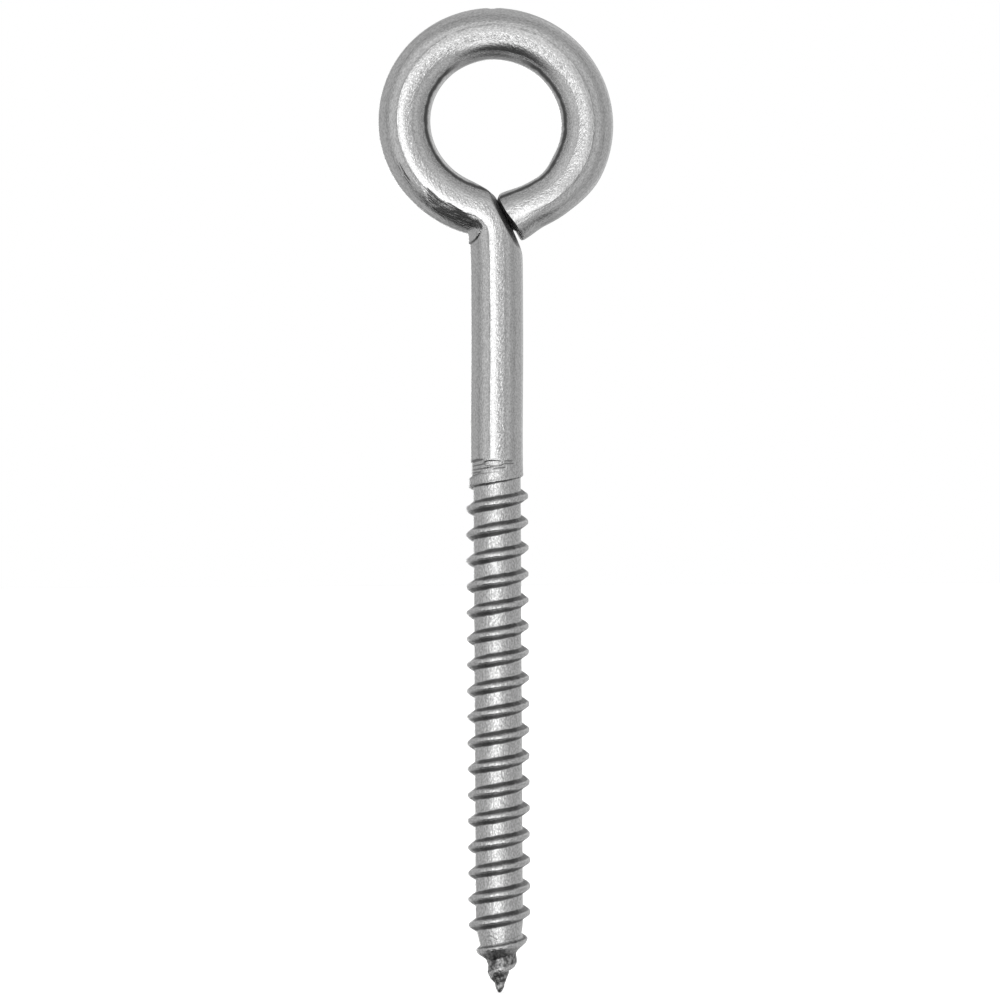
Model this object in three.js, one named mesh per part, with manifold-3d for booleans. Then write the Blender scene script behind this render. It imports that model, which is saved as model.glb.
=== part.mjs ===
// A wood-screw eye bolt: one round steel bar, bent to an open eye at the top and rolled to a
// coarse pointed screw thread at the bottom.
//
// Millimetres, +Z up. The bar's straight part lies on the Z axis, and the eye lies in the XZ
// plane. The origin is on the axis at the lower end of the plain shank, which is the level that
// the timber's face reaches when the whole thread has been driven in.
//
// The bar is one piece of steel. It is modelled as five consecutive lengths that meet face to
// face: eye_ring, neck_bend, plain_shank, screw_thread and gimlet_point.

import * as THREE from 'three';
import { LoftGeometry } from 'three/addons/geometries/LoftGeometry.js';
import { ParametricGeometry } from 'three/addons/geometries/ParametricGeometry.js';
import { mergeVertices } from 'three/addons/utils/BufferGeometryUtils.js';
import Module from 'manifold-3d';

const wasm = await Module();
wasm.setup();

// Driving dimensions, in millimetres and degrees.
const bar_diameter = 10.05;
const eye_centre_height = 63.9;
const eye_centre_offset = 0.15;      // from the shank's axis, towards +X
const eye_mean_radius = 17.35;       // from the eye's centre to the bar's centreline, on average
const eye_rise = 0.59;               // how far the loop is carried upwards
const eye_egg = 0.33;                // how far the loop is drawn out along its long direction
const eye_egg_direction = -24;
const end_angle = -60;               // where the loop runs out into the straight cut end
const end_length = 6.1;
const end_squeeze = 0.11;            // how much thinner the bar is where the loop was closed
const squeeze_start = -26;           // the angle where that begins
const squeeze_full = -50;
const squeeze_end_length = 4.8;      // from the cut face to where it fades
const neck_angle = 255;              // where the loop runs into the neck
const neck_flats = [                 // pressed on the outside of the neck's bend
  { distance: 8.85, lean: 25.5 },    // from the bend's centre; from the shank's direction
  { distance: 9.75, lean: 57 },
];
const neck_flats_start = 232;        // where on the loop the upper flat begins
const thread_length = 102.7;
const pitch = 5.0;
const crest_diameter = 12.0;
const root_diameter = 9.15;
const crest_width = 0.4;
const ridge_width = 2.8;
const fillet_width = 0.45;           // the hollow at the foot of each flank
const fillet_height = 0.22;
const first_crest_depth = 7.2;       // on the +X side
const runout_start = 1.9;            // below the shank: the thread rises from here
const runout_end = 6.6;              // and has its whole depth from here
const point_length = 15.0;
const point_core_length = 13.8;
const point_fullness = 1.55;         // 1 would be a straight cone

// How finely the curved surfaces are divided.
const bar_sides = 20;
const degrees_per_section = 8;
const thread_sides = 22;

const bar_radius = bar_diameter / 2;
const crest_radius = crest_diameter / 2;
const root_radius = root_diameter / 2;
const tip_height = -thread_length;
const radians = THREE.MathUtils.degToRad;
const across = new THREE.Vector3(0, 1, 0);

// A point of the bar's plane of symmetry, measured from the eye's centre.
function onEyePlane(x, z) {
  return new THREE.Vector3(eye_centre_offset + x, 0, eye_centre_height + z);
}

// The loop's centreline, by angle from +X about the eye's centre.
function loopRadius(angle) {
  const drawn_out = eye_egg * Math.cos(2 * (angle - radians(eye_egg_direction)));
  return eye_mean_radius + eye_rise * Math.sin(angle) + drawn_out;
}

function loopPoint(angle) {
  const radius = loopRadius(angle);
  return onEyePlane(radius * Math.cos(angle), radius * Math.sin(angle));
}

function loopHeading(angle) {
  const step = 1e-4;
  return loopPoint(angle + step).sub(loopPoint(angle - step)).normalize();
}

// One cross-section of the bar, square to its heading: a circle, or an oval where the bar has
// been squeezed in the eye's plane.
function section(centre, heading, squeeze = 0) {
  const outward = new THREE.Vector3().crossVectors(across, heading);
  const points = [];
  for (let i = 0; i < bar_sides; i++) {
    const turn = 2 * Math.PI * i / bar_sides;
    points.push(centre.clone()
      .addScaledVector(outward, bar_radius * (1 - squeeze) * Math.cos(turn))
      .addScaledVector(across, bar_radius * Math.sin(turn)));
  }
  return points;
}

function loft(sections) {
  return new LoftGeometry(sections, { capStart: true, capEnd: true });
}

// The eye: a short straight end, then the loop, anticlockwise from low on the right, over the
// top and down to low on the left.
function eyeRing() {
  const start = radians(end_angle);
  const finish = radians(neck_angle);
  const straight = loopHeading(start);
  const sections = [];
  for (const share of [0, 0.4, 0.8]) {
    const centre = loopPoint(start).addScaledVector(straight, -end_length * (1 - share));
    const faded = THREE.MathUtils.smoothstep(share * end_length, 0, squeeze_end_length);
    sections.push(section(centre, straight, end_squeeze * faded));
  }
  const count = Math.round((neck_angle - end_angle) / degrees_per_section);
  for (let i = 0; i <= count; i++) {
    const angle = start + (finish - start) * i / count;
    const faded = 1 - THREE.MathUtils.smoothstep(angle, radians(squeeze_full), radians(squeeze_start));
    const heading = loopHeading(angle);
    const points = section(loopPoint(angle), heading, end_squeeze * faded);
    sections.push(angle > radians(neck_flats_start) ? pressFlat(points, heading) : points);
  }
  return loft(sections);
}

// The neck turns the bar down onto the shank's axis. Its radius follows from where the loop
// leaves off, and its outside is pressed flat beside the cut end.
const neck_start = loopPoint(radians(neck_angle));
const neck_heading = loopHeading(radians(neck_angle));
const neck_dip = Math.asin(-neck_heading.z);
const neck_radius = -neck_start.x / (1 - Math.sin(neck_dip));
const bend_height = neck_start.z - neck_radius * Math.cos(neck_dip);
const bend_centre = new THREE.Vector3(-neck_radius, 0, bend_height);
const shank_top = bend_height - 2.5;

// Moves a section's points in their own plane until none stands proud of the flats.
function pressFlat(points, heading) {
  const inward = new THREE.Vector3().crossVectors(heading, across);
  for (const { distance, lean } of neck_flats) {
    const normal = new THREE.Vector3(Math.cos(radians(lean)), 0, Math.sin(radians(lean)));
    for (const point of points) {
      const proud = point.clone().sub(bend_centre).dot(normal) - distance;
      point.addScaledVector(inward, -Math.max(0, proud) / inward.dot(normal));
    }
  }
  return points;
}

function neckBend() {
  const sections = [];
  const turn = Math.PI / 2 - neck_dip;
  const count = Math.round(THREE.MathUtils.radToDeg(turn) / degrees_per_section);
  for (let i = 0; i <= count; i++) {
    const dip = neck_dip + turn * i / count;
    const heading = new THREE.Vector3(Math.cos(dip), 0, -Math.sin(dip));
    const outward = new THREE.Vector3(Math.sin(dip), 0, Math.cos(dip));
    const centre = bend_centre.clone().addScaledVector(outward, neck_radius);
    sections.push(pressFlat(section(centre, heading), heading));
  }
  const down = new THREE.Vector3(0, 0, -1);
  sections.push(pressFlat(section(new THREE.Vector3(0, 0, shank_top), down), down));
  return loft(sections);
}

function plainShank() {
  const down = new THREE.Vector3(0, 0, -1);
  return loft([
    section(new THREE.Vector3(0, 0, shank_top), down),
    section(new THREE.Vector3(0, 0, 0), down),
  ]);
}

// The thread's form along the axis, as [distance from the crest's middle, share of the ridge's
// height]. These are one pitch of lines, which all run round the bar on the helix.
const ridge_height = crest_radius - root_radius;
const thread_form = [
  [-crest_width / 2, 1],
  [crest_width / 2, 1],
  [ridge_width / 2 - fillet_width, fillet_height / ridge_height],
  [ridge_width / 2, 0],
  [pitch - ridge_width / 2, 0],
  [pitch - ridge_width / 2 + fillet_width, fillet_height / ridge_height],
];
const lines = thread_form.length;
const turns = Math.ceil(thread_length / pitch) + 3;

function formAt(row) {
  const turn = Math.floor(row / lines);
  const line = Math.floor(row - turn * lines);
  const share = row - turn * lines - line;
  const [from, from_height] = thread_form[line];
  const [to, to_height] = line + 1 < lines ? thread_form[line + 1] : [thread_form[0][0] + pitch, 1];
  return {
    along: turn * pitch + THREE.MathUtils.lerp(from, to, share),
    height: THREE.MathUtils.lerp(from_height, to_height, share),
  };
}

function coreRadius(z) {
  const depth = THREE.MathUtils.smoothstep(-z, runout_start, runout_end);
  const rolled = THREE.MathUtils.lerp(bar_radius, root_radius, depth);
  const left = Math.max(0, 1 - (z - tip_height) / point_core_length);
  return rolled * (1 - left ** point_fullness);
}

function ridgeAt(z) {
  const depth = THREE.MathUtils.smoothstep(-z, runout_start, runout_end);
  const point = Math.min(1, (z - tip_height) / point_length);
  return ridge_height * depth * point;
}

// A point of the screw's surface: u goes once round, and v goes up through the helical lines.
// Lines that run past the tip or past the shank gather there, and the last one closes the top.
function screwPoint(u, v, target) {
  const last_row = turns * lines;
  const row = v * last_row;
  const { along, height } = formAt(row);
  const lowest_crest = -first_crest_depth - pitch * Math.ceil((thread_length + pitch) / pitch);
  const z = lowest_crest + along + pitch * u;
  const angle = 2 * Math.PI * u;
  let radius = 0;
  if (z > tip_height && row < last_row - 0.5) {
    const inside = Math.min(z, 0);
    radius = coreRadius(inside) + ridgeAt(inside) * height;
  }
  const level = THREE.MathUtils.clamp(z, tip_height, 0);
  target.set(radius * Math.cos(angle), radius * Math.sin(angle), level);
}

// Triangles with two corners in one place are left out.
function withoutSlivers(geometry) {
  geometry.deleteAttribute('normal');
  geometry.deleteAttribute('uv');
  const merged = mergeVertices(geometry, 1e-4);
  const index = merged.index.array;
  const kept = [];
  for (let i = 0; i < index.length; i += 3) {
    const [a, b, c] = index.subarray(i, i + 3);
    if (a !== b && b !== c && c !== a) {
      kept.push(a, b, c);
    }
  }
  merged.setIndex(kept);
  return merged;
}

function solidOf(geometry) {
  const closed = withoutSlivers(geometry);
  return new wasm.Manifold(new wasm.Mesh({
    numProp: 3,
    vertProperties: closed.attributes.position.array,
    triVerts: new Uint32Array(closed.index.array),
  }));
}

function geometryOf(solid) {
  const { vertProperties, triVerts } = solid.getMesh();
  const geometry = new THREE.BufferGeometry();
  geometry.setAttribute('position', new THREE.BufferAttribute(vertProperties, 3));
  geometry.setIndex(new THREE.BufferAttribute(triVerts, 1));
  geometry.computeVertexNormals();
  return geometry;
}

// A block as wide as the thread, from one height to another, that cuts out a length of it.
function slab(from, to) {
  const block = new THREE.BoxGeometry(2 * crest_diameter, 2 * crest_diameter, to - from);
  block.translate(0, 0, (from + to) / 2);
  return solidOf(block);
}

const screw = solidOf(new ParametricGeometry(screwPoint, thread_sides, turns * lines));
const point_top = tip_height + point_length;

function screwThread() {
  return geometryOf(screw.intersect(slab(point_top, 1)));
}

function gimletPoint() {
  return geometryOf(screw.intersect(slab(tip_height - 1, point_top)));
}

// Bright zinc-plated steel, a little duller where the rolls and the point's dies have worked it.
function zinc(shade, roughness) {
  return new THREE.MeshStandardMaterial({
    color: new THREE.Color(shade, shade, shade),
    roughness,
    metalness: 1,
  });
}

const bolt = new THREE.Group();
const lengths = [
  ['eye_ring', eyeRing(), zinc(0.72, 0.26)],
  ['neck_bend', neckBend(), zinc(0.70, 0.30)],
  ['plain_shank', plainShank(), zinc(0.72, 0.24)],
  ['screw_thread', screwThread(), zinc(0.68, 0.30)],
  ['gimlet_point', gimletPoint(), zinc(0.60, 0.42)],
];
for (const [name, geometry, material] of lengths) {
  const mesh = new THREE.Mesh(geometry, material);
  mesh.name = name;
  bolt.add(mesh);
}

export default bolt;
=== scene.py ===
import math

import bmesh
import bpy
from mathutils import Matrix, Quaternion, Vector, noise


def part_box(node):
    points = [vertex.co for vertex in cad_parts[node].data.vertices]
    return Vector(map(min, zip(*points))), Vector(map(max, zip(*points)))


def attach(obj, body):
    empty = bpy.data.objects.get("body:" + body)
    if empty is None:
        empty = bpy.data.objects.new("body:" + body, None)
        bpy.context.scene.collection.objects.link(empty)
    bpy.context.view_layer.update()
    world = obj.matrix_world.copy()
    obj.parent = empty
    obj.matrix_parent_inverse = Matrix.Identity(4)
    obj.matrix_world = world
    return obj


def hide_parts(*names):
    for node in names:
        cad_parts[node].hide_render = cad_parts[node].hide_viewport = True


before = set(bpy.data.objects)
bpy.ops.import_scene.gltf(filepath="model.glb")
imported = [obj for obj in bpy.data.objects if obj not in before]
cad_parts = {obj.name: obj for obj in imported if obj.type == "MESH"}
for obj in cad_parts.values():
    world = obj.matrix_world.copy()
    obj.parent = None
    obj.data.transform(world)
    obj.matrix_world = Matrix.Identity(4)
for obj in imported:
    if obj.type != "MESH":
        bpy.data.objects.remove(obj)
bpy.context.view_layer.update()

# A wood-screw eye bolt: one zinc-plated steel bar, bent to an open eye and rolled to a coarse
# pointed thread. Its surface is worked out once, in millimetres, as rows that follow the bar, and
# is then cut into the same five lengths as the CAD model.

MM = 0.001


def box_mm(node):
    low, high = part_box(node)
    return low / MM, high / MM


# Driving dimensions, from the frame.
shank_low, shank_high = box_mm("plain_shank")
point_low, point_high = box_mm("gimlet_point")
BAR_RADIUS = (shank_high.y - shank_low.y) / 2
SHANK_TOP = shank_high.z
SHANK_END = shank_low.z
CREST_RADIUS = box_mm("screw_thread")[1].x
POINT_TOP = point_high.z
TIP = point_low.z

# The eye, as it was bent.
EYE_CENTRE = Vector((0.15, 0.0, 63.9))
EYE_MEAN_RADIUS = 17.35
EYE_RISE = 0.59
EYE_EGG = 0.33
EYE_EGG_DIRECTION = math.radians(-24)
END_ANGLE = math.radians(-60)
END_LENGTH = 6.1
END_SQUEEZE = 0.11
SQUEEZE_START = math.radians(-26)
SQUEEZE_FULL = math.radians(-50)
SQUEEZE_END_LENGTH = 4.8
NECK_ANGLE = math.radians(255)
NECK_FLATS = (
    # distance from the bend's centre, lean from level, turn towards the front
    (8.086, math.radians(26.9), math.radians(8.2)),
    (9.75, math.radians(57), 0.0),
)
NECK_FLATS_START = math.radians(225)
ACROSS = Vector((0.0, 1.0, 0.0))

# The thread, as it was rolled.
PITCH = 5.0
ROOT_RADIUS = 4.575
CREST_WIDTH = 0.65
RIDGE_WIDTH = 2.8
FIRST_CREST_DEPTH = 7.2
POINT_CORE_LENGTH = 13.8
POINT_FULLNESS = 1.55
BLUNT_TIP = 0.8
BURR_HEIGHT = 0.07

# The turns at the point, by height above the tip.
RIDGE_TAPER = 10.5        # the ridge has its whole height from here up
LAST_TURN = (5.5, 6.5)    # the last turn begins between these
DRAWN_TURN = (9.0, 10.5)  # the turn before it was drawn out here
TURN_SAG = 0.3            # how far both sag towards the tip
WAIST = (4.6, 7.2)        # the core is thinner here, between the two
WAIST_DEPTH = 0.3

# The sheared end and the marks of the tools. Angles round the eye are in degrees from +X.
END_EDGE = 0.08
SCUFF_START = 226.5
SCUFF_NARROWING = (244, 257)
SCUFF_CLOSING = 50            # how much further round its width has closed
SCUFF_ENDING = (300, 312)
SCUFF_LEAN = 28               # from the front of the bar towards the outside of the eye
SCUFF_HALF_WIDTH = 15
KNOCK_DEPTH = 0.14            # the dent on the outside of the eye, at its top
SHANK_BOW = 0.2
CREASE_CENTRE = (-6.1, 44.45)
CREASE_TOP = 43.95
CREASE_RADIUS = 3.4
LIP_HEIGHT = 0.24
# Where the painted dark reflection runs round the inside of the eye.
INNER_REFLECTION_TURN = math.radians(56)   # from the front of the bar towards the inside of the eye
DRAWN_LINES = (
    # turn in degrees, strength
    (15, 0.9),
    (42, 0.35),
    (-18, 0.3),
    (-42, 0.3),
    (84, 0.3),
    (-99, 0.4),
    (135, 0.6),
    (-150, 0.5),
)
PATCH_CENTRE = (-0.6, -0.95)
PATCH_SIZE = (1.95, 0.6)
PATCH_DEPTH = 0.16
ROLLER_GROOVES = (
    # from x, to x, height, slope
    (1.7, 2.9, -0.5, 0.0),
    (1.2, 3.1, -1.05, 0.02),
    (-0.6, 1.7, -1.85, 0.1),
    (-4.4, -2.8, -0.45, 0.25),
    (-4.7, -2.3, -1.25, 0.2),
    (-4.8, -0.8, -1.95, 0.14),
    (-4.9, -3.2, -2.7, 0.16),
)
GROOVE_DEPTH = 0.1

# How finely the surface is divided.
BAR_COLUMNS = 120
THREAD_COLUMNS = 112
ROWS_PER_PITCH = 40
BAR_MASKS = ("scuffed", "pressed", "sheared", "painted_dark_lines", "drawn", "rubbed")


def smoothstep(value, start, end):
    share = min(1.0, max(0.0, (value - start) / (end - start)))
    return share * share * (3 - 2 * share)


def window(value, start, end, soft):
    """1 between start and end, falling smoothly to 0 over soft on either side."""
    return smoothstep(value, start - soft, start) * (1 - smoothstep(value, end, end + soft))


def soft_excess(proud, rounding):
    """How far a point is pressed back to a flat: proud, with its edge rounded."""
    if proud >= rounding:
        return proud
    if proud <= -rounding:
        return 0.0
    return (proud + rounding) ** 2 / (4 * rounding)


# The bar's centreline.


def loop_radius(angle):
    drawn_out = EYE_EGG * math.cos(2 * (angle - EYE_EGG_DIRECTION))
    return EYE_MEAN_RADIUS + EYE_RISE * math.sin(angle) + drawn_out


def loop_point(angle):
    radius = loop_radius(angle)
    return EYE_CENTRE + Vector((radius * math.cos(angle), 0, radius * math.sin(angle)))


def loop_heading(angle):
    step = 1e-4
    return (loop_point(angle + step) - loop_point(angle - step)).normalized()


NECK_START = loop_point(NECK_ANGLE)
NECK_DIP = math.asin(-loop_heading(NECK_ANGLE).z)
NECK_RADIUS = -NECK_START.x / (1 - math.sin(NECK_DIP))
BEND_CENTRE = Vector((-NECK_RADIUS, 0, NECK_START.z - NECK_RADIUS * math.cos(NECK_DIP)))


class Station:
    """One place along the bar: its centre and heading, and how the section is changed there."""

    def __init__(self, centre, heading, part, angle=0.0, squeeze=0.0, scale=1.0, overhang=0.0):
        self.centre = centre
        self.heading = heading
        self.outward = ACROSS.cross(heading)
        self.part = part
        self.angle = angle
        self.squeeze = squeeze
        self.scale = scale
        self.overhang = overhang
        self.along = 0.0


def end_station(distance, scale=1.0):
    """A row of the straight end, at a distance from the sheared face."""
    heading = loop_heading(END_ANGLE)
    centre = loop_point(END_ANGLE) + heading * (distance - END_LENGTH)
    squeeze = END_SQUEEZE * smoothstep(distance, 0, SQUEEZE_END_LENGTH)
    overhang = 1 - smoothstep(distance, 0, 3.5)
    return Station(centre, heading, "eye_ring", END_ANGLE, squeeze, scale, overhang)


def shank_bow(height):
    """How far the shank is bowed out of line."""
    return SHANK_BOW * smoothstep(height, 2, 26) * (1 - smoothstep(height, 36, 44))


def stations():
    """The rows of the bar, from the middle of its sheared face down to the start of the thread."""
    found = []
    face_rows, edge_rows, end_rows, loop_rows, neck_rows = 9, 4, 22, 330, 50
    for i in range(face_rows):
        found.append(end_station(0, 0.03 + (0.97 - END_EDGE / BAR_RADIUS) * i / face_rows))
    for i in range(edge_rows):
        turned = math.pi / 2 * i / edge_rows
        inset = END_EDGE * (1 - math.sin(turned)) / BAR_RADIUS
        found.append(end_station(END_EDGE * (1 - math.cos(turned)), 1 - inset))
    for i in range(end_rows):
        found.append(end_station(END_EDGE + (END_LENGTH - END_EDGE) * i / end_rows))
    for i in range(loop_rows + 1):
        angle = END_ANGLE + (NECK_ANGLE - END_ANGLE) * i / loop_rows
        squeeze = END_SQUEEZE * (1 - smoothstep(angle, SQUEEZE_FULL, SQUEEZE_START))
        found.append(Station(loop_point(angle), loop_heading(angle), "eye_ring", angle, squeeze))
    for i in range(1, neck_rows + 1):
        dip = NECK_DIP + (math.pi / 2 - NECK_DIP) * i / neck_rows
        centre = BEND_CENTRE + NECK_RADIUS * Vector((math.sin(dip), 0, math.cos(dip)))
        heading = Vector((math.cos(dip), 0, -math.sin(dip)))
        found.append(Station(centre, heading, "neck_bend", NECK_ANGLE + dip - NECK_DIP))
    down = Vector((0, 0, -1))
    for station in found:
        station.centre.x += shank_bow(station.centre.z) if station.part == "neck_bend" else 0.0
    final_angle = NECK_ANGLE + math.pi / 2 - NECK_DIP
    for top, bottom, rows, part in (
        (BEND_CENTRE.z, SHANK_TOP, 10, "neck_bend"),
        (SHANK_TOP, SHANK_END, 80, "plain_shank"),
    ):
        for i in range(1, rows + 1):
            height = top + (bottom - top) * i / rows
            centre = Vector((shank_bow(height), 0, height))
            found.append(Station(centre, down, part, final_angle))
    for before, after in zip(found, found[1:]):
        after.along = before.along + (after.centre - before.centre).length
    return found


def end_overhang(out, side):
    """How far the sheared face leans out of square, most of it at the back of the bar."""
    front = 0.7 * smoothstep(out, -1.05, -0.7) * (1 - smoothstep(out, -0.5, 0.7))
    front -= 0.2 * smoothstep(out, 0.5, 0.95)
    back = (0.58 + 0.48 * (1 - smoothstep(out, 0.4, 0.52))) * smoothstep(out, -1.1, -0.8)
    ragged = 0.06 * noise.noise(Vector((2.5 * out, 2.5 * side, 0.0)))
    return front + (back - front) * smoothstep(side, -0.5, 0.6) + ragged


def unevenness(place):
    """The slight waviness of a drawn and bent bar."""
    return 0.012 * noise.noise(Vector((0.45 * place.x, 0.45 * place.y, 0.16 * place.z)))


def scuff(passed, turn, place):
    """Where the jaws gripped the eye: which way they faced, how deep they went and what they scuffed."""
    turned = math.degrees(turn)
    slanted = passed - 0.25 * (turned - SCUFF_LEAN)
    narrowing = smoothstep(passed, *SCUFF_NARROWING)
    closing = min(1.0, max(0.0, (passed - SCUFF_NARROWING[1]) / SCUFF_CLOSING))
    ending = 1 - smoothstep(passed, *SCUFF_ENDING)
    lean = math.radians(SCUFF_LEAN + 8 * narrowing - 7 * closing)
    half_width = math.radians(SCUFF_HALF_WIDTH - 4 * narrowing - 9 * closing)
    gripped = BAR_RADIUS * (math.cos(turn - lean) - math.cos(half_width))
    gripped += 0.05 * noise.noise(Vector((place.x, place.y, 0.6 * place.z)))
    grip = soft_excess(gripped, 0.1) * ending * smoothstep(slanted, SCUFF_START - 4, SCUFF_START + 2)
    scuffed = smoothstep(slanted, SCUFF_START - 1, SCUFF_START) * ending
    scuffed *= smoothstep(gripped, -0.07, 0.02)
    scuffed *= 0.5 + 0.5 * smoothstep(passed - 232 + 0.6 * (turned - 30), 2, 9)
    streak = window(passed, 203, 217, 4) * (1 - smoothstep(abs(turned - 35), 2, 7))
    return lean, grip, max(scuffed, 0.5 * streak)


def corner_lip(point, side):
    """How far the lip in the neck's corner stands out, and how much painted shadow shows in its crease.
    """
    away = math.hypot(point.x - CREASE_CENTRE[0], point.z - CREASE_CENTRE[1])
    lip = smoothstep(CREASE_TOP - point.z, -0.1, 0.7) * smoothstep(point.x, -5.6, -5.0)
    lip *= 1 - smoothstep(side, 0.1, 0.6)
    # Painted shadow along the lip's crease.
    crease_shadow = lip * (1 - smoothstep(abs(away - CREASE_RADIUS), 0.05, 0.22))
    lip *= 1 - smoothstep(away, CREASE_RADIUS - 0.12, CREASE_RADIUS + 0.06)
    return LIP_HEIGHT * lip, crease_shadow


def press_flats(point, outward):
    """Presses a point back to the neck's flats. Also tells how much of the tilted flat shows there."""
    pressed = 0.0
    for distance, lean, towards_front in NECK_FLATS:
        level = math.cos(towards_front)
        normal = Vector((
            math.cos(lean) * level, -math.sin(towards_front), math.sin(lean) * level,
        ))
        beyond = (point - BEND_CENTRE).dot(normal) - distance
        if towards_front:
            pressed = smoothstep(beyond, -0.15, 0.1) * smoothstep(point.z, 39.8, 41.0)
        point += outward * (soft_excess(beyond, 0.3) / -outward.dot(normal))
    return point, pressed


def painted_inner_reflection(passed, out, place):
    """How much shows of the painted dark reflection that runs round the inside of the eye."""
    strayed = abs(-out - math.sin(INNER_REFLECTION_TURN)) + 0.03 * noise.noise(0.7 * place)
    inner_reflection = (1 - smoothstep(strayed, 0.035, 0.095)) * (1 - smoothstep(passed, 270, 288))
    return inner_reflection * (1 - 0.9 * window(passed, 75, 115, 20))


def drawn_line(turned):
    """How much shows of the lines that the drawing die left along the bar."""
    return max(
        strength * (1 - smoothstep(abs(turned - line % 360), 1.0, 4.0))
        for line, strength in DRAWN_LINES
    )


def bar_point(station, turn):
    """A point of the bar, and how much each of BAR_MASKS shows there.

    turn is counted from the front of the bar towards the outside of the eye.
    """
    out, side = station.scale * math.sin(turn), -station.scale * math.cos(turn)
    place = Vector((BAR_RADIUS * out, BAR_RADIUS * side, station.along))
    across = station.outward * math.sin(turn) - ACROSS * math.cos(turn)
    passed, turned = math.degrees(station.angle), math.degrees(turn)
    lean, grip, scuffed = scuff(passed, turn, place)
    knock = KNOCK_DEPTH * window(passed, 91, 92.5, 2)
    knock *= smoothstep(turned, 55, 80) if turn < math.pi else 0.0
    point = station.centre + station.outward * (place.x * (1 - station.squeeze))
    point += ACROSS * (place.y * (1 + 0.5 * station.squeeze))
    point += across * (unevenness(place) - knock)
    point -= (station.outward * math.sin(lean) - ACROSS * math.cos(lean)) * grip
    if station.overhang > 0:
        point -= station.heading * (station.overhang * end_overhang(out, side))
    pressed = crease_shadow = 0.0
    if station.angle > NECK_FLATS_START:
        proud, crease_shadow = corner_lip(point, side)
        point, pressed = press_flats(point + across * proud, station.outward)
    sheared = 1.0 if station.scale < 0.985 else 0.0
    # Painted dark lines: the reflection round the inside of the eye and the shadow in the neck's crease,
    # none on the sheared face.
    painted_dark_lines = max(painted_inner_reflection(passed, out, place), crease_shadow) * (1 - sheared)
    rubbed = window(turned - 360, -15, -3, 3)
    return point, scuffed, pressed, sheared, painted_dark_lines, drawn_line(turned), rubbed


# The thread and the point.


def thread_form(offset):
    """The share of the ridge's height at a distance along the axis from the crest's middle."""
    rise = (RIDGE_WIDTH / 2 - abs(offset)) / (RIDGE_WIDTH / 2 - CREST_WIDTH / 2)
    foot, shoulder = 0.2, 0.14
    if rise <= 0:
        return 0.0
    if rise < foot:
        height = rise * rise / (2 * foot)
    elif rise < 1 - shoulder:
        height = rise - foot / 2
    else:
        left = max(0.0, 1 + shoulder - rise)
        height = 1 - foot / 2 - left * left / (4 * shoulder)
    return height / (1 - foot / 2)


def tool_marks(x, z):
    """The depth of the marks the rolls left on the front, where the thread ends, and the painted shade
    along the patch's edge and in its grooves.
    """
    across, up = (x - PATCH_CENTRE[0]) / PATCH_SIZE[0], (z - PATCH_CENTRE[1]) / PATCH_SIZE[1]
    reach = math.sqrt(across ** 4 + up * up)
    depth = PATCH_DEPTH * (1 - smoothstep(reach, 0.75, 1.0))
    depth -= 0.07 * window(reach, 1.05, 1.25, 0.15)
    # Painted shade along the edge of the patch; the grooves below get it too.
    shade_in_marks = 1 - smoothstep(abs(reach - 0.86), 0.04, 0.2)
    for start, end, height, slope in ROLLER_GROOVES:
        line = height + slope * x if slope < 0.05 else height + slope * (x - (start + end) / 2)
        groove = window(x, start, end, 0.3) * (1 - smoothstep(abs(z - line), 0.03, 0.2))
        depth += GROOVE_DEPTH * groove
        shade_in_marks = max(shade_in_marks, groove)
    return depth, shade_in_marks


def ridge_offset(z, crest, place):
    """The distance above the crest's middle, scaled where the last two turns were drawn out."""
    reach = crest - TIP
    wander = 0.1 * noise.noise(place * 0.7) + 0.07 * noise.noise(place * 2.6)
    last = 1 - smoothstep(reach, *LAST_TURN)
    drawn_out = window(reach, *DRAWN_TURN, 1.5)
    offset = z - crest + wander + TURN_SAG * max(last, drawn_out)
    if offset > 0:
        return offset * (1 - 0.5 * last + 0.5 * drawn_out)
    return offset * (1 + 0.9 * last - 0.4 * drawn_out)


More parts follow.
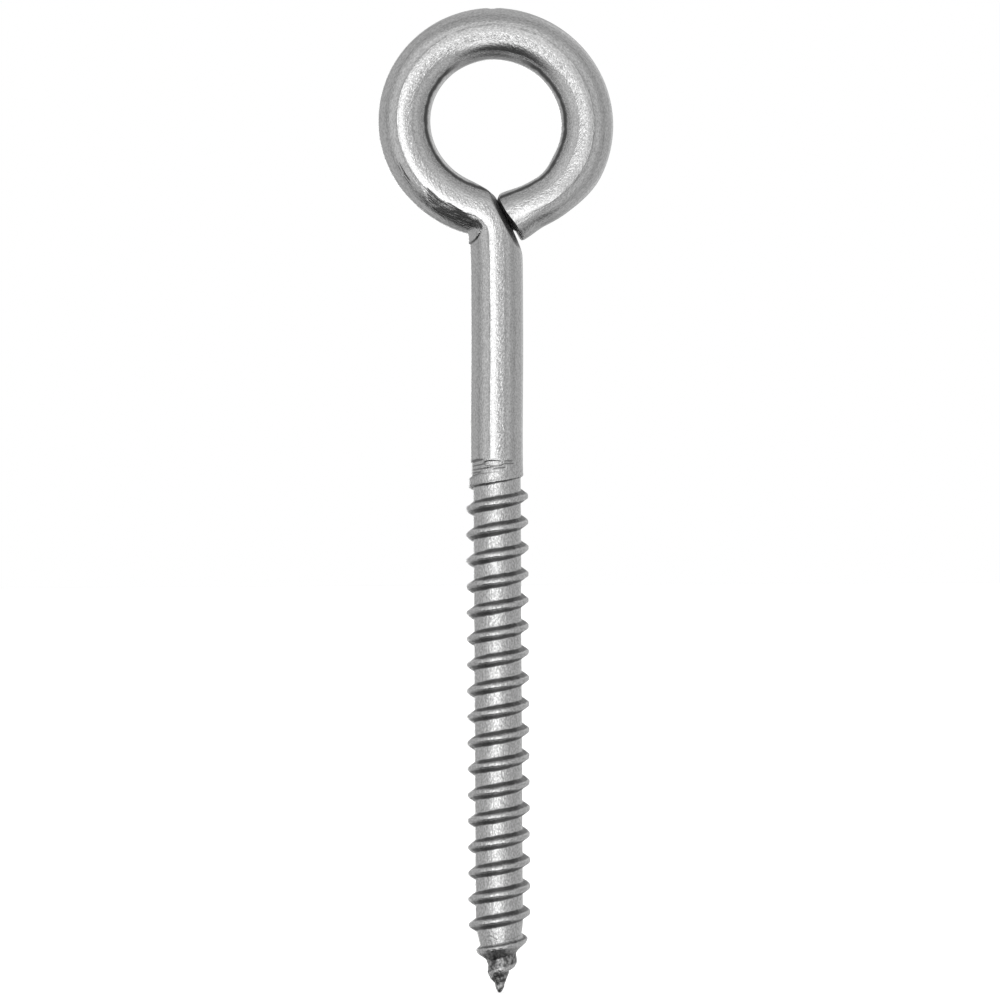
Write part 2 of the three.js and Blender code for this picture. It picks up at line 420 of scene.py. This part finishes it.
def screw_point(angle, z, crest):
    """A point of the thread, how much painted shade its flanks and tool marks take, and how much of it
    belongs to the rough tip.
    """
    turns = (crest + FIRST_CREST_DEPTH) / PITCH
    place = Vector((-BAR_RADIUS * math.cos(angle), BAR_RADIUS * math.sin(angle), z))
    reach = crest - TIP
    offset = ridge_offset(z, crest, place)
    groove_turns = turns + (1 if offset > 0 else 0)
    left = max(0.0, 1 - (z - TIP) / POINT_CORE_LENGTH)
    fading = smoothstep(groove_turns, 1.06, 1.9)
    core = (ROOT_RADIUS + (BAR_RADIUS - ROOT_RADIUS) * fading) * (1 - left ** POINT_FULLNESS)
    waist = WAIST_DEPTH * window(z - TIP, *WAIST, 0.8)
    core = max(core - waist, min(BLUNT_TIP, math.sqrt(0.68 * BLUNT_TIP * (z - TIP))))
    form = thread_form(offset)
    tall = (CREST_RADIUS - ROOT_RADIUS) * min(1.0, (z - TIP) / RIDGE_TAPER) + waist
    lumps = 0.05 * noise.noise(place * 1.3) + 0.03 * noise.noise(place * 3.1)
    ridge = core + tall * form if fading == 0 else max(core, ROOT_RADIUS + tall * form)
    crest_level = CREST_RADIUS + (BAR_RADIUS - CREST_RADIUS) * smoothstep(turns, 0.0, 0.83)
    if turns > 0:
        ridge -= soft_excess(ridge - crest_level, 0.06)
        burr = window(turns, 0.55, 0.95, 0.15) * window(offset, -1.0, -0.7, 0.15)
        ridge += BURR_HEIGHT * burr
    rough = 0.022 + 0.05 * smoothstep(left, 0.3, 0.7)
    radius = ridge + lumps * form * form + rough * noise.noise(place * 1.7)
    painted_marks_shade = 0.0
    # The rolls' marks: real dents, with painted shade along their edges and in their grooves.
    if z > -3.6 and math.sin(angle) < 0:
        depth, painted_marks_shade = tool_marks(radius * math.cos(angle), z)
        radius -= depth
    radius = BAR_RADIUS + (radius - BAR_RADIUS) * smoothstep(SHANK_END - z, 0, 0.35)
    # Painted shade on the thread's flanks, standing for the shade that the grooves cast on each other.
    painted_thread_shade = smoothstep(form, 0.03, 0.15) * (1 - smoothstep(form, 0.66, 0.8))
    painted_thread_shade *= 1 - smoothstep(turns, 0.3, 0.8) * smoothstep(form, 0.3, 0.4)
    if offset > 0:
        painted_thread_shade *= 1 - smoothstep(turns, 0.55, 0.75)
    if reach < 12:
        painted_thread_shade *= smoothstep(form, 0.25, 0.4) if offset > 0 else smoothstep(reach, 10.5, 12)
    painted_thread_shade = max(painted_thread_shade, painted_marks_shade)
    tip = smoothstep(left, 0.3, 0.5) * (1 - smoothstep(form, 0.8, 0.95))
    tip *= smoothstep(z - TIP, 0.9, 1.6)
    point = Vector((radius * math.cos(angle), radius * math.sin(angle), z))
    return point, painted_thread_shade, tip


def new_object(name, mesh):
    made = bpy.data.objects.new(name, mesh)
    bpy.context.scene.collection.objects.link(made)
    return made


def set_attribute(mesh, name, kind, values):
    layer = mesh.attributes.new(name, kind, "POINT")
    flat = values if kind == "FLOAT" else [c for v in values for c in v]
    layer.data.foreach_set("value" if kind == "FLOAT" else "vector", flat)


def finish_mesh(mesh, normals, is_cap):
    """Shades the mesh smooth with the normals of the whole bar, so that no cut shows."""
    mesh.polygons.foreach_set("use_smooth", [not cap for cap in is_cap])
    corner_normals = []
    for face, cap in zip(mesh.polygons, is_cap):
        for corner in face.loop_indices:
            own = face.normal if cap else normals[mesh.loops[corner].vertex_index]
            corner_normals.append(own)
    mesh.normals_split_custom_set(corner_normals)


def grid_normals(grid):
    """The normal at each point of rows that run along the bar.

    It points into the bar, and so do the faces in build_bar.
    """
    columns = len(grid[0])
    found = []
    for r, row in enumerate(grid):
        before, after = grid[max(0, r - 1)], grid[min(len(grid) - 1, r + 1)]
        found.append([
            (after[c] - before[c]).cross(row[(c + 1) % columns] - row[c - 1]).normalized()
            for c in range(columns)
        ])
    return found


def build_bar(name, part, rows, surface, normals):
    """The rows of one part of the bar, closed at both ends."""
    first = next(i for i, s in enumerate(rows) if s.part == part)
    last = max(i for i, s in enumerate(rows) if s.part == part)
    first = max(0, first - 1)
    chosen = range(first, last + 1)
    count = BAR_COLUMNS
    faces = [
        (r * count + c, (r + 1) * count + c, (r + 1) * count + d, r * count + d)
        for r in range(len(chosen) - 1)
        for c, d in ((c, (c + 1) % count) for c in range(count))
    ]
    sides = len(faces)
    final = (len(chosen) - 1) * count
    faces.append(tuple(range(count)))
    faces.append(tuple(final + c for c in reversed(range(count))))
    found = [point for i in chosen for point in surface[i]]
    mesh = bpy.data.meshes.new(name)
    mesh.from_pydata([p[0] * MM for p in found], [], faces)
    straight = [
        Vector((BAR_RADIUS * math.sin(t), -BAR_RADIUS * math.cos(t), rows[i].along))
        for i in chosen
        for t in (2 * math.pi * c / count for c in range(count))
    ]
    set_attribute(mesh, "straight", "FLOAT_VECTOR", straight)
    for index, wear in enumerate(BAR_MASKS, 1):
        set_attribute(mesh, wear, "FLOAT", [p[index] for p in found])
    finish_mesh(mesh, [n for i in chosen for n in normals[i]], [i >= sides for i in range(len(faces))])
    return new_object(name, mesh)


def helical_surface():
    """The thread and point as one closed bmesh, made of rows that follow the helix."""
    made = bmesh.new()
    painted_thread_shade_layer = made.verts.layers.float.new("painted_thread_shade")
    tip_layer = made.verts.layers.float.new("tip")
    normal_layer = made.verts.layers.float_vector.new("whole_normal")
    angles = [2 * math.pi * c / THREAD_COLUMNS for c in range(THREAD_COLUMNS)]
    top_ring = [
        made.verts.new(Vector((BAR_RADIUS * math.cos(a), BAR_RADIUS * math.sin(a), SHANK_END)))
        for a in angles
    ]
    tip = made.verts.new(Vector((0, 0, TIP)))
    tip[tip_layer] = 1.0
    turns = math.ceil((SHANK_END - TIP) / PITCH) + 3
    lowest = -FIRST_CREST_DEPTH - PITCH * (turns - 1)
    known = {}

    def vertex(column, row):
        if column == THREAD_COLUMNS:
            column, row = 0, row + ROWS_PER_PITCH
        if (column, row) in known:
            return known[column, row]
        nearest = math.ceil(row / ROWS_PER_PITCH - 0.5)
        crest = lowest + PITCH * (nearest + column / THREAD_COLUMNS)
        z = crest + PITCH * (row / ROWS_PER_PITCH - nearest)
        if z >= SHANK_END - 0.01:
            found = top_ring[column]
        elif z <= TIP + 0.01:
            found = tip
        else:
            point, painted_thread_shade, rough = screw_point(angles[column], z, crest)
            found = made.verts.new(point)
            found[painted_thread_shade_layer] = painted_thread_shade
            found[tip_layer] = rough
        known[column, row] = found
        return found

    for row in range(-ROWS_PER_PITCH, (turns + 1) * ROWS_PER_PITCH):
        for column in range(THREAD_COLUMNS):
            corners = []
            for c, r in ((column, row), (column + 1, row), (column + 1, row + 1), (column, row + 1)):
                corner = vertex(c, r)
                if corner not in corners:
                    corners.append(corner)
            if len(corners) > 2:
                made.faces.new(corners).smooth = True
    made.normal_update()
    for vertex in made.verts:
        vertex[normal_layer] = vertex.normal
    for vertex in top_ring:
        vertex[normal_layer] = Vector((vertex.co.x, vertex.co.y, 0)).normalized()
    made.faces.new(top_ring)
    return made


def build_screw(name, surface, keep_above, shank_along):
    """The part of the thread's surface above or below the top of the point, closed again."""
    piece = surface.copy()
    everything = piece.verts[:] + piece.edges[:] + piece.faces[:]
    bmesh.ops.bisect_plane(
        piece, geom=everything, plane_co=(0, 0, POINT_TOP), plane_no=(0, 0, 1),
        clear_inner=keep_above, clear_outer=not keep_above,
    )
    rim = [e for e in piece.edges if e.is_boundary]
    cap = bmesh.ops.contextual_create(piece, geom=rim)["faces"][0]
    cap.normal_update()
    if (cap.normal.z > 0) == keep_above:
        cap.normal_flip()
    normal_layer = piece.verts.layers.float_vector["whole_normal"]
    normals = [v[normal_layer].copy() for v in piece.verts]
    is_cap = [len(f.verts) > 8 for f in piece.faces]
    straight = [Vector((-v.co.x, v.co.y, shank_along - v.co.z)) for v in piece.verts]
    mesh = bpy.data.meshes.new(name)
    piece.to_mesh(mesh)
    piece.free()
    set_attribute(mesh, "straight", "FLOAT_VECTOR", straight)
    for vertex in mesh.vertices:
        vertex.co *= MM
    finish_mesh(mesh, normals, is_cap)
    return new_object(name, mesh)


# Materials.

# How bright the metal is where it was worked or is worn, and where shade is painted: on the thread's
# flanks and tool marks, and as dark lines in the eye and neck.
SCUFFED_SHADE = 0.12
PRESSED_SHADE = 0.42
SHEARED_SHADE = 0.55
PAINTED_THREAD_SHADE = 0.23
PAINTED_LINE_SHADE = 0.12
TIP_SHADES = (0.14, 0.6)
WORKED_ROUGHNESS = 0.42
PRESSED_ROUGHNESS = 0.6


def node(tree, kind, settings=None, inputs=None):
    """Adds a shader node. An input that is a socket is linked, and any other is set."""
    made = tree.nodes.new(kind)
    for key, value in (settings or {}).items():
        setattr(made, key, value)
    for key, value in (inputs or {}).items():
        if isinstance(value, bpy.types.NodeSocket):
            tree.links.new(value, made.inputs[key])
        else:
            made.inputs[key].default_value = value
    return made


def maths(tree, operation, *values):
    made = node(tree, "ShaderNodeMath", {"operation": operation}, dict(enumerate(values)))
    return made.outputs[0]


def ramp(tree, value, start, end, low=0.0, high=1.0):
    """A smooth change from low to high as value goes from start to end."""
    made = node(tree, "ShaderNodeMapRange", {"interpolation_type": "SMOOTHSTEP"}, {
        "Value": value, "From Min": start, "From Max": end, "To Min": low, "To Max": high,
    })
    return made.outputs["Result"]


def grain(tree, place, across, along, lean=0.0, detail=2.0, roughness=0.5):
    """Noise on the straightened bar, with features of a size in millimetres across and along."""
    turned = node(tree, "ShaderNodeMapping", {"vector_type": "TEXTURE"}, {
        "Vector": place, "Rotation": (0, lean, 0), "Scale": (across, across, along),
    })
    made = node(tree, "ShaderNodeTexNoise", {}, {
        "Vector": turned.outputs[0], "Scale": 1.0, "Detail": detail, "Roughness": roughness,
    })
    return made.outputs["Fac"]


def mask(tree, name):
    return node(tree, "ShaderNodeAttribute", {"attribute_name": name}).outputs["Fac"]


def mix(tree, share, low, high):
    """A number between low and high."""
    made = node(tree, "ShaderNodeMix", {"data_type": "FLOAT"}, {0: share, 2: low, 3: high})
    return made.outputs[0]


def plated_steel(name, base, roughness, relief, pitting):
    """Dull zinc with drawn grain and flecks. relief is the depth of its finest bumps in millimetres."""
    material = bpy.data.materials.new(name)
    material.use_nodes = True
    tree = material.node_tree
    shader = tree.nodes["Principled BSDF"]
    place = node(tree, "ShaderNodeAttribute", {"attribute_name": "straight"}).outputs["Vector"]
    drawn = grain(tree, place, 0.3, 22.0)
    speckle = grain(tree, place, 0.28, 0.45, detail=3.0, roughness=0.5)
    rubs = grain(tree, place, 0.3, 0.9, lean=0.6, detail=2.0)
    blotches = grain(tree, place, 0.6, 0.9, detail=3.0, roughness=0.6)
    streaks = grain(tree, place, 0.24, 3.0, detail=4.0, roughness=0.65)
    scuffed = mask(tree, "scuffed")
    worn = maths(tree, "MULTIPLY_ADD", scuffed, 0.24, streaks)
    scuffed = maths(tree, "MULTIPLY", ramp(tree, scuffed, 0.0, 0.3), ramp(tree, worn, 0.6, 0.68))
    pressed = mask(tree, "pressed")
    sheared = mask(tree, "sheared")
    tip = mask(tree, "tip")
    height = maths(tree, "MULTIPLY_ADD", drawn, 0.25, speckle)
    rubbed = maths(tree, "MULTIPLY", mask(tree, "rubbed"), maths(tree, "SUBTRACT", rubs, 0.5))
    height = maths(tree, "MULTIPLY_ADD", rubbed, 5.0, height)
    height = maths(tree, "MULTIPLY_ADD", blotches, pitting, height)
    height = maths(tree, "MULTIPLY_ADD", maths(tree, "MULTIPLY", scuffed, streaks), 3.0, height)
    height = maths(tree, "MULTIPLY_ADD", mask(tree, "drawn"), -0.8, height)
    bump = node(tree, "ShaderNodeBump", {}, {
        "Height": height, "Strength": 1.0, "Distance": relief * MM,
    })
    shade = ramp(tree, speckle, 0.3, 0.7, base - 0.14, base + 0.14)
    fade = maths(tree, "MULTIPLY", mask(tree, "drawn"), ramp(tree, streaks, 0.38, 0.6, 0.0, 0.55))
    shade = maths(tree, "MULTIPLY", shade, maths(tree, "SUBTRACT", 1.0, fade))
    for share, worked_shade in (
        (scuffed, SCUFFED_SHADE),
        (pressed, PRESSED_SHADE),
        (sheared, SHEARED_SHADE),
        # painted shade on the thread's flanks and in its tool marks
        (mask(tree, "painted_thread_shade"), PAINTED_THREAD_SHADE),
        # painted dark reflection round the inside of the eye, and painted shadow in the neck's crease
        (mask(tree, "painted_dark_lines"), PAINTED_LINE_SHADE),
        (tip, ramp(tree, blotches, 0.4, 0.64, *TIP_SHADES)),
    ):
        shade = mix(tree, share, shade, worked_shade)
    colour = node(tree, "ShaderNodeCombineColor", {}, {"Red": shade, "Green": shade, "Blue": shade})
    tree.links.new(colour.outputs["Color"], shader.inputs["Base Color"])
    dull = ramp(tree, blotches, 0.3, 0.7, roughness - 0.03, roughness + 0.05)
    worked = maths(tree, "MAXIMUM", maths(tree, "MAXIMUM", scuffed, sheared), tip)
    dull = mix(tree, worked, dull, WORKED_ROUGHNESS)
    dull = mix(tree, pressed, dull, PRESSED_ROUGHNESS)
    tree.links.new(dull, shader.inputs["Roughness"])
    tree.links.new(bump.outputs["Normal"], shader.inputs["Normal"])
    shader.inputs["Metallic"].default_value = 1.0
    return material


# Studio.

SOFTBOXES = (
    # azimuth from the front towards +X, half width, softness, lowest, highest, brightness
    (-16.5, 11.5, 2, -30, 14, 1.25),
    (5, 14, 4, -48, -6, 1.0),
    (-55, 12, 6, -28, 50, 0.24),
    (-37, 6, 3, -28, 50, 0.14),
    (6, 10, 4, -8, 30, 0.36),
    (22, 6, 4, -45, 30, 0.18),
    (51, 8, 3, -60, 50, 0.2),
    (-41, 55, 8, -82, -41, -0.34),
    (0, 34, 15, 24, 50, 0.4),
    (-170, 13, 3, -20, 12, 1.3),
    (180, 35, 10, -50, -28, -0.22),
    (150, 8, 4, -28, 50, 0.25),
    (-150, 8, 4, -28, 50, -0.12),
)
FRONT_LIGHT = 0.4
BACK_LIGHT = 0.48
GROUND_LIGHT = 0.06
FLOOR_RADIUS = 5.0
FLOOR_GAP = 0.02
VIEW_HEIGHT = 192.3
VIEW_CENTRE = (0.59, -7.98)  # from the shank's axis, and from the top of the thread
VIEW_ROLL = math.radians(-0.31)


def studio_light():
    """Soft strips of light round the object, on a world that the camera itself sees as white."""
    world = bpy.data.worlds.new("studio")
    bpy.context.scene.world = world
    world.use_nodes = True
    tree = world.node_tree
    direction = node(tree, "ShaderNodeTexCoord").outputs["Generated"]
    parts = node(tree, "ShaderNodeSeparateXYZ", {}, {0: direction})
    x, y, z = parts.outputs
    azimuth = maths(tree, "ARCTAN2", x, maths(tree, "MULTIPLY", y, -1.0))
    behind = maths(tree, "ARCTAN2", x, y)
    elevation = maths(tree, "ARCSINE", z)
    around = ramp(tree, y, -0.3, 0.4, FRONT_LIGHT, BACK_LIGHT)
    total = ramp(tree, elevation, math.radians(-68), math.radians(-50))
    total = mix(tree, total, GROUND_LIGHT, around)
    for heading, half, soft, lowest, highest, brightness in SOFTBOXES:
        inside = brightness
        facing = azimuth
        if abs(heading) > 90:
            heading, facing = math.copysign(180 - abs(heading), heading), behind
        for angle, start, end, edge in (
            (facing, heading - half, heading + half, soft),
            (elevation, lowest, highest, 10),
        ):
            rise = ramp(tree, angle, math.radians(start - edge), math.radians(start + edge))
            fall = ramp(tree, angle, math.radians(end - edge), math.radians(end + edge), 1.0, 0.0)
            inside = maths(tree, "MULTIPLY", maths(tree, "MULTIPLY", rise, fall), inside)
        total = maths(tree, "ADD", total, inside)
    total = maths(tree, "MAXIMUM", total, GROUND_LIGHT)
    seen = node(tree, "ShaderNodeLightPath").outputs["Is Camera Ray"]
    background = tree.nodes["Background"]
    background.inputs["Color"].default_value = (1, 1, 1, 1)
    tree.links.new(mix(tree, seen, total, 1.0), background.inputs["Strength"])


def floor():
    """A pale disc just below the tip, lit evenly from above."""
    made = bmesh.new()
    bmesh.ops.create_circle(made, cap_ends=True, segments=96, radius=FLOOR_RADIUS)
    mesh = bpy.data.meshes.new("floor")
    made.to_mesh(mesh)
    made.free()
    disc = new_object("floor", mesh)
    disc.location.z = (TIP - FLOOR_GAP) * MM
    disc.visible_glossy = False
    material = bpy.data.materials.new("floor")
    material.use_nodes = True
    shader = material.node_tree.nodes["Principled BSDF"]
    shader.inputs["Base Color"].default_value = (0.9, 0.9, 0.9, 1)
    shader.inputs["Roughness"].default_value = 0.9
    mesh.materials.append(material)
    for name, energy, casts in (("floor_light", 1.0, True), ("floor_fill", 2.4, False)):
        lamp = bpy.data.lights.new(name, "SUN")
        lamp.angle = math.radians(60)
        lamp.energy = energy
        lamp.use_shadow = casts
        overhead = new_object(name, lamp)
        overhead.visible_glossy = False


def camera():
    """Level with the middle of the bolt, square to the eye, and a third of a degree off upright."""
    lens, sensor = 200.0, 36.0
    data = bpy.data.cameras.new("camera")
    data.lens, data.sensor_width = lens, sensor
    made = new_object("camera", data)
    distance = VIEW_HEIGHT * MM / 2 / (sensor / 2 / lens)
    made.location = (VIEW_CENTRE[0] * MM, -distance, VIEW_CENTRE[1] * MM)
    level = Quaternion((1, 0, 0), math.pi / 2)
    made.rotation_mode = "QUATERNION"
    made.rotation_quaternion = level @ Quaternion((0, 0, 1), VIEW_ROLL)
    bpy.context.scene.camera = made


rows = stations()
turns = [2 * math.pi * c / BAR_COLUMNS for c in range(BAR_COLUMNS)]
surface = [[bar_point(station, turn) for turn in turns] for station in rows]
normals = grid_normals([[found[0] for found in row] for row in surface])
screw = helical_surface()
bar_steel = plated_steel("bar_steel", base=0.73, roughness=0.17, relief=0.045, pitting=0.4)
thread_steel = plated_steel("thread_steel", base=0.72, roughness=0.22, relief=0.08, pitting=1.5)
camera()
studio_light()
floor()
end_along = rows[-1].along
bolt = [
    (build_bar("eye", "eye_ring", rows, surface, normals), "eye_ring", bar_steel),
    (build_bar("neck", "neck_bend", rows, surface, normals), "neck_bend", bar_steel),
    (build_bar("shank", "plain_shank", rows, surface, normals), "plain_shank", bar_steel),
    (build_screw("thread", screw, True, end_along), "screw_thread", thread_steel),
    (build_screw("point", screw, False, end_along), "gimlet_point", thread_steel),
]
screw.free()
for piece, cad_node, material in bolt:
    piece.data.materials.append(material)
    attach(piece, "root")
    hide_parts(cad_node)

bpy.context.scene.view_settings.view_transform = "Standard"
